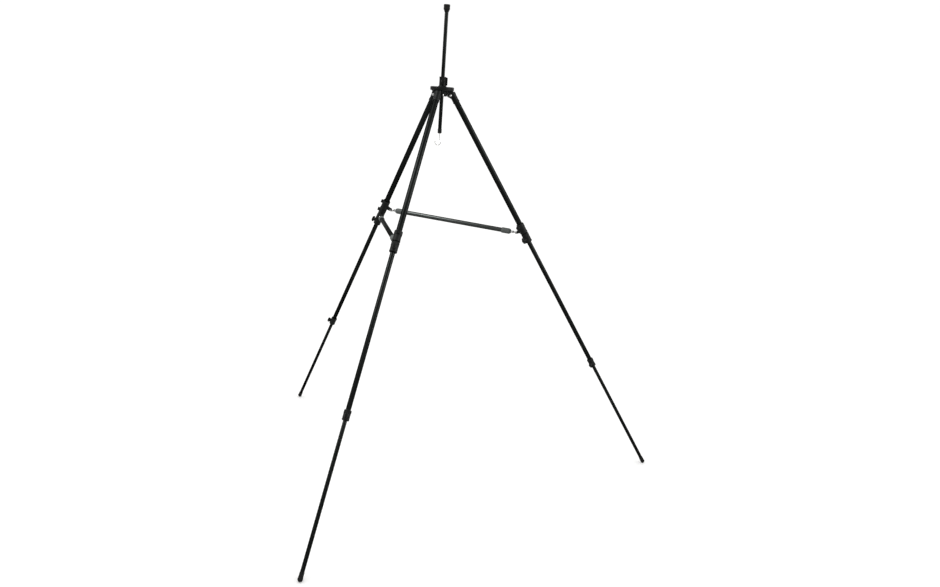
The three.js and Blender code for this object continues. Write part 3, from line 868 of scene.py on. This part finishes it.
def knuckle_shape():
    """The leg's top fitting, in pin coordinates. Its top lies flat under the head plate."""
    collar = turned(outline([
        (0, -KNUCKLE["bottom"]),
        (KNUCKLE["radius"] - 0.6, -KNUCKLE["bottom"], 0.8),
        (KNUCKLE["radius"], -KNUCKLE["bottom"] + 1.2, 0.6),
        (KNUCKLE["radius"], -KNUCKLE["bottom"] + 6.0, 0.5),
        (KNUCKLE["radius"] - 0.8, -KNUCKLE["bottom"] + 7.0, 0.5),
        (KNUCKLE["radius"] - 0.8, -8.0, 0.5),
        (KNUCKLE["radius"], -6.0, 0.8),
        (KNUCKLE["radius"], 2 * KNUCKLE["radius"]),
        (0, 2 * KNUCKLE["radius"]),
    ], closed=False))
    moved(collar, Matrix.Translation((TUBE_OFFSET, 0, 0)))
    lug = arc((0, 0), KNUCKLE["lug_radius"], 90, 225, 20)
    lug += [(TUBE_OFFSET, -KNUCKLE["bottom"] + 4), (TUBE_OFFSET, KNUCKLE["lug_radius"])]
    half = KNUCKLE["lug_width"] / 2
    stop = PLATE["under"] - RUN
    far = 80
    room = [(far, stop), *arc((0, 0), stop, 90, 180, 16), (-stop, -far), (far, -far)]
    keep = moved(slab(room, -far, far), Matrix.Rotation(SPREAD, 4, "Y"))
    body = within(join(collar, slab(lug, -half, half)), keep)
    socket = rod(UPPER["radius"] + SNUG, -far, -UPPER["top"] + RUN, ROUND)
    moved(socket, Matrix.Translation((TUBE_OFFSET, 0, 0)))
    bore = along_y(rod(PIN["radius"] + PIN_GAP, -KNUCKLE["radius"], KNUCKLE["radius"]))
    return prototype(moulded(cut(body, socket, bore), 0.45, keep=0.45))


def lock_collar_shape(lock, outer, inner):
    """A lock collar: grip ribs round its upper half, a lip at each end and the screw boss."""
    ribs = 22
    rib_depth = 1.0
    run_out = 1.5
    rib_low = -lock["screw"] + LOCK_BOSS + 2.0
    rib_high = -lock["top"] - 4.0

    def ribbed(radius, z, angle):
        if radius < lock["radius"] - 2 or not rib_low <= z <= rib_high:
            return radius
        fade = min(min(z - rib_low, rib_high - z) / run_out, 1.0)
        return radius - rib_depth * fade * (0.5 + 0.5 * math.cos(ribs * angle)) ** 2

    radius = lock["radius"]
    low = -lock["bottom"]
    high = -lock["top"]
    side = [(radius, rib_low + (rib_high - rib_low) * i / 12) for i in range(13)]
    shell = turned([
        *outline([
            (0, low),
            (radius - 1.6, low, 0.6),
            (radius, low + 1.6, 0.8),
            (radius, low + 4.0, 0.3),
            (radius - 0.6, low + 4.6, 0.3),
            (radius - 0.6, rib_low - 1.6, 0.3),
            (radius, rib_low - 1.0),
        ], closed=False),
        *side,
        *outline([
            (radius, rib_high + 0.6),
            (radius, high - 1.8, 0.9),
            (radius - 1.8, high, 0.9),
            (0, high),
        ], closed=False),
    ], 132, ribbed)
    boss = along_x(rod(LOCK_BOSS, 0, lock["boss"], rounding=0.8))
    moved(boss, Matrix.Translation((0, 0, -lock["screw"])))
    wide = rod(outer["radius"] + SNUG, -outer["bottom"] - RUN, high + 1, ROUND)
    narrow = rod(inner["radius"] + 0.2, low - 1, -outer["bottom"], ROUND)
    thread = along_x(rod(SCREW["radius"] + PIN_GAP, 0, lock["boss"] + 1))
    moved(thread, Matrix.Translation((0, 0, -lock["screw"])))
    return prototype(moulded(cut(join(shell, boss), wide, narrow, thread), 0.42, relax=2))


def foot_shape():
    """A ringed rubber foot, worn flat by the ground."""
    seat = LOWER["radius"] + SNUG
    seat_end = -LOWER["bottom"] - RUN
    top = -FOOT["top"]
    radius = FOOT["radius"]
    corners = [(seat, top, 0.3), (radius - 1.4, top, 1.0)]
    pitch = 4.6
    for i in range(3):
        z = top - 4.0 - i * pitch
        corners += [(radius - 0.9, z, 0.3), (radius - 1.5, z - 0.6, 0.2)]
        corners += [(radius - 1.5, z - 1.4, 0.2), (radius - 0.6, z - 2.0, 0.3)]
    points = [tuple(p) for p in outline(corners, closed=False, steps=3)]
    points += arc((0, -FOOT["centre"]), radius, 0, -90, 16)[:-1]
    points += [(0, -FOOT["centre"] - radius), (0, seat_end), (seat, seat_end)]
    far = 60
    ground = rod(far, -far, -FOOT["ground"])
    moved(ground, Matrix.Rotation(SPREAD, 4, "Y"))
    moved(ground, Matrix.Translation((0, 0, -FOOT["centre"])))
    return prototype(cut(turned(points), ground))


def bracket_shape(boss_bearing):
    """A collar with raised lips, a fork towards X that holds the cross pin, and a boss."""
    radius = BRACKET["radius"]
    low = -BRACKET["below"]
    high = BRACKET["above"]
    collar = turned(outline([
        (0, low),
        (radius - 1.2, low, 0.6),
        (radius, low + 1.2, 0.6),
        (radius, low + 4.5, 0.4),
        (radius - 0.9, low + 5.4, 0.5),
        (radius - 0.9, high - 17.0, 0.5),
        (radius, high - 16.0, 0.4),
        (radius, high - 1.2, 0.6),
        (radius - 1.2, high, 0.6),
        (0, high),
    ], closed=False))
    half = FORK["half_height"]
    side = [(12, -half - 4), (FORK["root"] - 3, -half)]
    side += arc((FORK["reach"], 0), FORK["eye"], -90, 90, 20)
    side += [(FORK["root"] - 3, half), (12, half + 4)]
    fork = slab(side, -FORK["half_width"], FORK["half_width"])
    boss = along_x(rod(CLAMP_BOSS["radius"], 0, CLAMP_BOSS["reach"] - KNOB_DEPTH, rounding=0.8))
    moved(boss, turn(boss_bearing) @ Matrix.Translation((0, 0, CLAMP_BOSS["height"])))
    far = 20
    root = FORK["root"]
    mouth = FORK["reach"] + FORK["eye"] + 1
    slot_side = [(root, -far), (mouth, -far), (mouth, far), (root, far)]
    slot = slab(slot_side, -FORK["slot"], FORK["slot"])
    bore = along_y(rod(CROSS_PIN["radius"] + PIN_GAP, -far, far))
    moved(bore, Matrix.Translation((FORK["reach"], 0, 0)))
    hole = rod(UPPER["radius"] + SNUG, low - 1, high + 1, ROUND)
    return prototype(moulded(cut(join(collar, fork, boss), slot, bore, hole), 0.42))


def clamp_knob_shape():
    """The knurled head of the screw that pinches a bracket onto its tube."""
    teeth = 18
    tooth_depth = 0.7
    start = CLAMP_BOSS["reach"] - KNOB_DEPTH + 0.2
    end = CLAMP_BOSS["reach"]
    rim = CLAMP_BOSS["radius"]

    def knurled(radius, x, angle):
        if radius < rim - 1.0:
            return radius
        return radius - tooth_depth * (0.5 + 0.5 * math.cos(teeth * angle)) ** 2

    profile = outline([(0, start), (rim - 1.4, start, 0.3), (rim - 0.3, start + 0.7)], closed=False)
    profile += [(rim, start + 1.0 + (end - start - 2.0) * i / 6) for i in range(7)]
    profile += outline([
        (rim - 0.3, end - 0.7), (rim - 1.4, end, 0.3), (3.6, end, 0.3),
        (3.2, end - 0.6, 0.3), (0, end - 0.6),
    ], closed=False)
    return prototype(along_x(turned(profile, 144, knurled)))


# ---- Spreader bars ----

def sleeve_shape():
    """A ringed grip on the end of a bar, drawn for the end at z = 0."""
    start = BAR["sleeve_start"]
    end = BAR["sleeve_end"]
    radius = BAR["sleeve"]
    corners = [
        (LINK["radius"] + SNUG, start, 0.2),
        (radius - 3.6, start, 1.4),
        (radius - 0.6, start + 5.0, 2.4),
        (radius, start + 9.0, 1.5),
    ]
    for i in range(3):
        z = start + 12.5 + 5.0 * i
        corners += [(radius, z, 0.3), (radius - 0.6, z + 0.6, 0.2)]
        corners += [(radius - 0.6, z + 1.4, 0.2), (radius, z + 2.0, 0.3)]
    corners += [
        (radius, end - 1.6, 0.8),
        (radius - 1.6, end, 0.6),
        (BAR["radius"] + SNUG, end, 0.2),
        (BAR["radius"] + SNUG, BAR["tube"] - RUN),
        (LINK["radius"] + SNUG, BAR["tube"] - RUN),
    ]
    return prototype(turned(outline(corners, steps=3), ROUND))


def link_collar(start):
    """The thick turned part of a link, between its pin and the bar's sleeve."""
    rim = LINK_COLLAR["radius"]
    end = BAR["sleeve_start"] - RUN
    return turned(outline([
        (0, start),
        (rim - 2.2, start, 0.4),
        (rim - 0.6, start + 3.0, 1.5),
        (rim, start + 4.0, 0.4),
        (rim, start + 6.5, 0.4),
        (rim - 0.8, start + 7.2, 0.3),
        (rim - 0.8, end, 0.3),
        (0, end),
    ], closed=False), ROUND)


def eye_shape():
    """A forged eye that turns on the cross pin, with its shank along Z."""
    half = LINK["thickness"] / 2
    ring = along_y(turned(outline([
        (CROSS_PIN["radius"] + 0.15, -half, 0.5),
        (LINK["eye"], -half, 1.2),
        (LINK["eye"], half, 1.2),
        (CROSS_PIN["radius"] + 0.15, half, 0.5),
    ]), ROUND))
    shank = turned(outline([
        (0, CROSS_PIN["radius"] + 1.0),
        (LINK["radius"] - 0.5, CROSS_PIN["radius"] + 1.0, 0.3),
        (LINK["radius"] - 0.2, 10.0, 3.0),
        (LINK["radius"], 16.0, 1.0),
        (LINK["radius"], LINK["buried"]),
        (0, LINK["buried"]),
    ], closed=False), SMALL_ROUND)
    return prototype(join(ring, shank, link_collar(LINK_COLLAR["from_eye"])))


def bar_hook_shape(below):
    """A steel hook with the cross pin at the origin. The wire passes below the pin."""
    bend = BAR_HOOK["bend"]
    points = [
        (0, 0, -LINK["buried"]),
        (0, 0, -BAR_HOOK["neck"] - 6),
        (below * 0.5, 0, -BAR_HOOK["neck"] + 2),
        (below * bend * 0.8, 0, -7.5),
    ]
    points += [(below * a, 0, b) for a, b in arc((0, 0), bend, 0, 111.6, 6)]
    hook = wire(smooth_path(points, 8), BAR_HOOK["wire"], 24)
    collar = moved(link_collar(LINK_COLLAR["from_hook"]), Matrix.Rotation(math.pi, 4, "X"))
    return prototype(moulded(join(hook, collar), 0.3, relax=2, keep=0.5))


# ---- Building ----

def build_head():
    place("head", head_shape(), HEAD, "head_casting")
    bearing = bearing_about(HEAD, joint_axis("column_screw_turn"))
    seat = HEAD @ turn(bearing) @ shift(z=COLUMN_SCREW["height"])
    screw = wing_screw_shape(COLUMN["radius"], COLUMN_SCREW["boss"], COLUMN_SCREW["span"])
    place("column_clamp_screw", screw, seat, "column_wing_screw")


def build_column():
    tube = tube_shape(COLUMN, COLUMN["bottom"], COLUMN["top"])
    place("centre_column", tube, HEAD, "column_tube")
    place("rubber_cap", cap_shape(), HEAD, "column_cap")
    place("bottom_plug", plug_shape(), HEAD, "column_plug")
    place("wire_hook", bag_hook_shape(), HEAD, "bag_hook", sharp=60.0)


def build_legs():
    pin = rivet_shape(PIN, EAR["inner"] + EAR["thickness"] + RUN)
    knuckle = knuckle_shape()
    tubes = {
        part: tube_shape(size, -size["bottom"], -size["top"])
        for part, size in (("upper", UPPER), ("middle", MIDDLE), ("lower", LOWER))
    }
    locks = {
        "upper": (UPPER_LOCK, UPPER, MIDDLE),
        "lower": (LOWER_LOCK, MIDDLE, LOWER),
    }
    collars = {level: lock_collar_shape(*sizes) for level, sizes in locks.items()}
    screws = {
        level: wing_screw_shape(inner["radius"], lock["boss"], lock["span"])
        for level, (lock, _, inner) in locks.items()
    }
    foot = foot_shape()
    for name, leg in LEG.items():
        node = f"leg_{name}_"
        place(f"{name}_hinge_pin", pin, leg.upright, node + "hinge_pin", sharp=50.0)
        place(f"{name}_top_fitting", knuckle, leg.on_pin, node + "top_fitting")
        for part, tube in tubes.items():
            place(f"{name}_{part}_tube", tube, leg.on_tube, f"{node}{part}_tube")
        for level, (lock, _, _) in locks.items():
            bearing = bearing_about(leg.on_tube, joint_axis(f"{node}{level}_screw_turn"))
            facing = leg.on_tube @ turn(bearing)
            seat = facing @ shift(z=-lock["screw"])
            collar_node = f"{node}{level}_lock_collar"
            screw_node = f"{node}{level}_wing_screw"
            place(f"{name}_{level}_lock", collars[level], facing, collar_node, sharp=50.0)
            place(f"{name}_{level}_lock_screw", screws[level], seat, screw_node, sharp=50.0)
        place(f"{name}_rubber_foot", foot, leg.on_tube, node + "foot")


def build_brackets():
    knob = clamp_knob_shape()
    pin = rivet_shape(CROSS_PIN, FORK["half_width"] + RUN)
    for name, kind in BRACKETS:
        node = f"leg_{name}_{kind}_"
        on_tube = LEG[name].on_tube
        pivot = on_tube.inverted() @ centre_of(node + "cross_pin")
        facing = on_tube @ turn(math.atan2(pivot.y, pivot.x)) @ Matrix.Translation((0, 0, pivot.z))
        boss_bearing = bearing_about(facing, joint_axis(f"leg_{name}_upper_screw_turn"))
        bracket = bracket_shape(boss_bearing)
        boss = facing @ turn(boss_bearing) @ shift(z=CLAMP_BOSS["height"])
        fork_end = facing @ shift(x=FORK["reach"])
        place(f"{name}_{kind}_collar", bracket, facing, node + "bracket", sharp=50.0)
        add_detail(f"{name}_{kind}_knob", knob, boss, node + "bracket", "wing_plastic")
        place(f"{name}_{kind}_pin", pin, fork_end, node + "cross_pin", sharp=50.0)


def build_bars():
    sleeve = sleeve_shape()
    eye = eye_shape()
    for name, far_bracket in (("rear", "high_spreader"), ("side", "low_spreader")):
        start = joint_place(f"{name}_spreader_swing")
        end = centre_of(f"leg_left_{far_bracket}_cross_pin")
        z = (end - start).normalized()
        y = joint_axis(f"{name}_spreader_swing")
        y = (y - z * y.dot(z)).normalized()
        x = y.cross(z)
        below = -1 if x.z > 0 else 1
        bar = axes_at(start, x, y, z)
        length = (end - start).length / MM
        far_end = bar @ shift(z=length)
        flipped = far_end @ Matrix.Rotation(math.pi, 4, "X")
        node = f"{name}_spreader_"
        tube = tube_shape(BAR, BAR["tube"], length - BAR["tube"])
        place(f"{name}_bar_tube", tube, bar, node + "tube")
        place(f"{name}_bar_grip", sleeve, bar, node + "pivot_sleeve")
        place(f"{name}_bar_far_grip", sleeve, flipped, node + "hook_sleeve")
        place(f"{name}_bar_eye", eye, bar, node + "pivot_eye", sharp=45.0)
        place(f"{name}_bar_hook", bar_hook_shape(below), far_end, node + "hook", sharp=60.0)


def finish_hidden_bushes():
    """The guide bushes inside the tubes keep their CAD shape, in nylon."""
    for name in LEG_NAMES:
        for part in ("middle", "lower"):
            bush = frame["nodes"][f"leg_{name}_{part}_guide_bush"]
            bush.data.materials.clear()
            bush.data.materials.append(FINISH["guide_nylon"])


# ---- Studio ----

def make_floor():
    """A wide pale disc, just under the feet."""
    bpy.ops.mesh.primitive_circle_add(vertices=96, radius=60, fill_type="NGON")
    floor = bpy.context.object
    floor.name = "floor"
    floor.location.z = -0.5 * MM
    material = bpy.data.materials.new("floor")
    material.use_nodes = True
    surface = material.node_tree.nodes["Principled BSDF"]
    surface.inputs["Base Color"].default_value = (0.93, 0.93, 0.92, 1)
    surface.inputs["Roughness"].default_value = 0.9
    surface.inputs["Specular IOR Level"].default_value = 0.1
    surface.inputs["Emission Color"].default_value = (1, 1, 1, 1)
    surface.inputs["Emission Strength"].default_value = 0.15
    floor.data.materials.append(material)


def area_light(name, place, size, watts, lit):
    """A soft box that points at the middle of the stand and lights only what is in lit."""
    light = bpy.data.lights.new(name, "AREA")
    light.shape = "RECTANGLE"
    light.size, light.size_y = size
    light.energy = watts
    obj = bpy.data.objects.new(name, light)
    obj.location = place
    aim = Vector((0, 0, 1.0)) - Vector(place)
    obj.rotation_euler = aim.to_track_quat("-Z", "Y").to_euler()
    obj.light_linking.receiver_collection = lit
    bpy.context.scene.collection.objects.link(obj)


def light_studio():
    """A white cove all round and three soft boxes that are flagged off the floor."""
    lit = bpy.data.collections.new("stand")
    for piece in pieces:
        lit.objects.link(piece)
    world = bpy.data.worlds.new("studio")
    world.use_nodes = True
    background = world.node_tree.nodes["Background"]
    background.inputs["Color"].default_value = (1, 1, 1, 1)
    background.inputs["Strength"].default_value = 1.03
    bpy.context.scene.world = world
    area_light("key", (-2.1, -1.7, 4.1), (0.9, 1.8), 290, lit)
    area_light("fill", (3.2, 0.5, 2.5), (0.8, 1.8), 165, lit)
    area_light("back", (-1.5, 4.0, 3.2), (2.4, 1.2), 20, lit)
    bpy.context.scene.view_settings.view_transform = "Standard"


# The camera's place is in metres, its turn in degrees and its lens in millimetres.
CAMERA = {"place": (1.23336, -2.95460, 1.52558), "turned": (77.290, -3.836, 19.269), "lens": 33.58}


def make_camera():
    data = bpy.data.cameras.new("camera")
    data.lens = CAMERA["lens"]
    data.sensor_width = 36.0
    camera = bpy.data.objects.new("camera", data)
    camera.location = CAMERA["place"]
    camera.rotation_euler = [math.radians(angle) for angle in CAMERA["turned"]]
    bpy.context.scene.collection.objects.link(camera)
    bpy.context.scene.camera = camera


make_camera()
build_head()
build_column()
build_legs()
build_brackets()
build_bars()
finish_hidden_bushes()
for shape in prototypes:
    bpy.data.objects.remove(shape)
make_floor()
light_studio()
